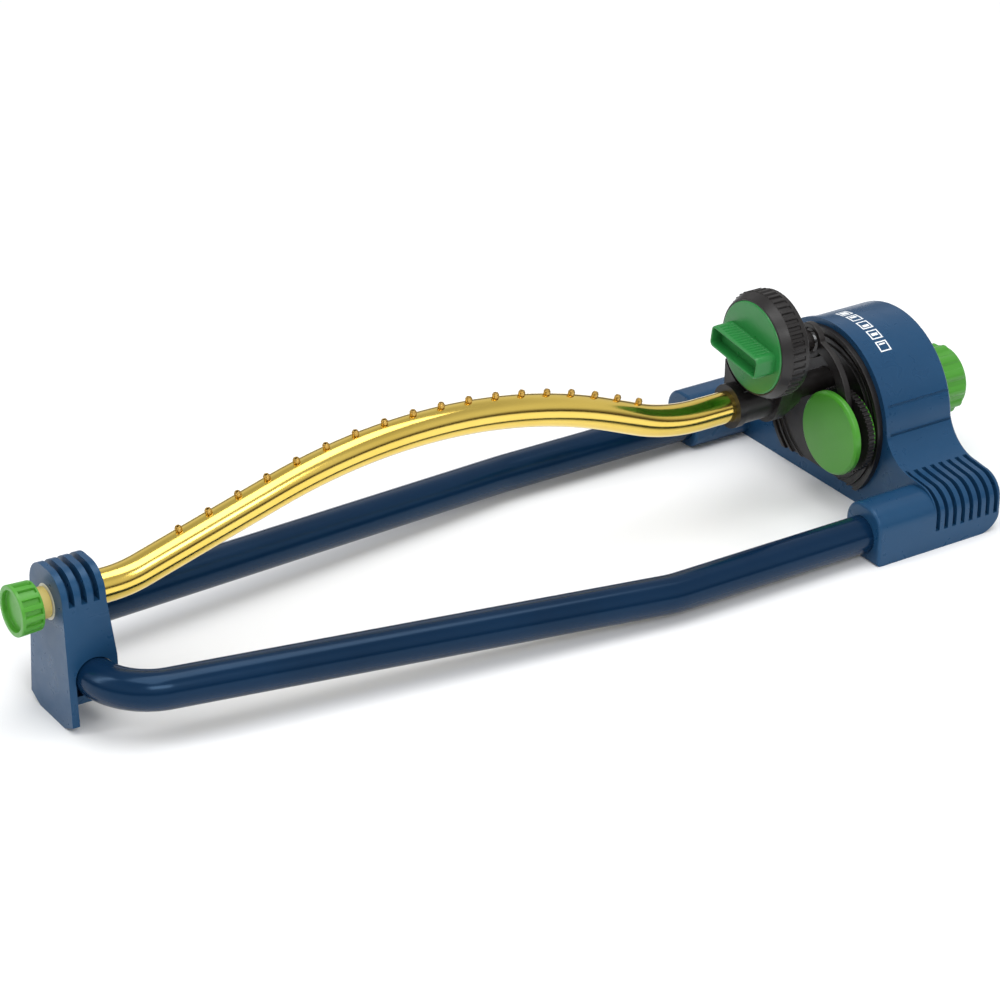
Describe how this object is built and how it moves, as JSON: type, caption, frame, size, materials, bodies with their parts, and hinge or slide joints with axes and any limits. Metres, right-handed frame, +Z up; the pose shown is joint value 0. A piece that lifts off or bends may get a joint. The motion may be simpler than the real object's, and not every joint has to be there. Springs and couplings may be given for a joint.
{
  "type": "oscillating lawn sprinkler",
  "caption": "Oscillating lawn sprinkler: arched spray tube with jets, rocked over a U-shaped tube base by a water-driven crank motor, with a range dial.",
  "frame": {"origin": "centre of the footprint on the ground, midway between the front of the end cap and the rear of the hose nut", "axes": "+X towards the hose end along the sprinkler, +Z up, -Y is the side that the crank and the dial are offset to"},
  "size_m": [0.535, 0.176, 0.1225],
  "materials": {
    "blue_plastic": "satin moulded",
    "blue_enamel": "glossy enamel on steel tube",
    "gold_aluminium": "bright gold anodised",
    "brass": "turned",
    "green_plastic": "satin moulded",
    "knob_green": "satin moulded",
    "black_plastic": "satin moulded",
    "acetal": "natural moulded acetal",
    "amber_seal": "soft moulded ring",
    "rubber": "matt",
    "steel": "stainless"
  },
  "bodies": {
    "base": {"frame_tube": "blue_enamel", "end_bracket": "blue_plastic", "bracket_bush": "acetal", "bracket_clamp": "blue_plastic", "clamp_screws": "steel", "motor_housing": "blue_plastic", "base_plate": "blue_plastic", "base_screws": "steel", "front_cover": "black_plastic", "cover_screws": "steel", "journal_seal": "rubber", "gear_plate": "acetal", "idler_axle": "steel", "inlet_stem": "black_plastic", "inlet_filter": "steel"},
    "tube": {"spray_tube": "gold_aluminium", "nozzles": "brass", "tube_journal": "acetal", "manifold": "black_plastic", "link_pin": "steel", "dial_stud": "black_plastic"},
    "dial": {"pattern_dial": "black_plastic", "knob": "knob_green"},
    "cap": {"end_cap": "green_plastic", "cap_seal": "amber_seal", "cleaning_pin": "steel"},
    "crank": {"crank_front_disc": "green_plastic", "crank_toothed_disc": "black_plastic", "crank_back_disc": "green_plastic", "crank_pin": "steel", "crank_shaft": "steel", "output_gear": "acetal"},
    "link": {"link_arm": "black_plastic"},
    "idler": {"idler_gear": "acetal"},
    "turbine": {"turbine_pinion": "acetal", "turbine_shaft": "steel", "turbine_wheel": "acetal"},
    "swivel": {"hose_nut": "green_plastic", "hose_washer": "rubber"}
  },
  "joints": [
    {"name": "tube_swing", "type": "hinge", "parent": "base", "child": "tube", "pos_m": [0, 0, 0.059], "axis": [1, 0, 0], "range_deg": [-43, 43]},
    {"name": "dial_turn", "type": "hinge", "parent": "tube", "child": "dial", "pos_m": [0.1355, -0.0128, 0.0953], "axis": [1, 0, 0], "range_deg": [-135, 135]},
    {"name": "cap_turn", "type": "hinge", "parent": "tube", "child": "cap", "pos_m": [-0.26, 0, 0.059], "axis": [1, 0, 0], "continuous": true},
    {"name": "crank_spin", "type": "hinge", "parent": "base", "child": "crank", "pos_m": [0.18, -0.0245, 0.0423], "axis": [1, 0, 0], "range_deg": [-72, 72]},
    {"name": "link_pivot", "type": "hinge", "parent": "crank", "child": "link", "pos_m": [0.176, -0.0295, 0.05096], "axis": [1, 0, 0], "range_deg": [-58, 58]},
    {"name": "idler_spin", "type": "hinge", "parent": "base", "child": "idler", "pos_m": [0.206, -0.01357, 0.02928], "axis": [1, 0, 0], "range_deg": [-172, 172]},
    {"name": "turbine_spin", "type": "hinge", "parent": "base", "child": "turbine", "pos_m": [0.215, 0.00144, 0.03726], "axis": [1, 0, 0], "range_deg": [-411, 411]},
    {"name": "hose_nut_turn", "type": "hinge", "parent": "base", "child": "swivel", "pos_m": [0.254, 0, 0.04], "axis": [1, 0, 0], "continuous": true}
  ],
  "couplings": [
    {"joint": "crank_spin", "follows": "tube_swing", "ratio": 1.654},
    {"joint": "link_pivot", "follows": "tube_swing", "ratio": -1.326},
    {"joint": "idler_spin", "follows": "tube_swing", "ratio": -3.9696},
    {"joint": "turbine_spin", "follows": "tube_swing", "ratio": 9.527}
  ]
}
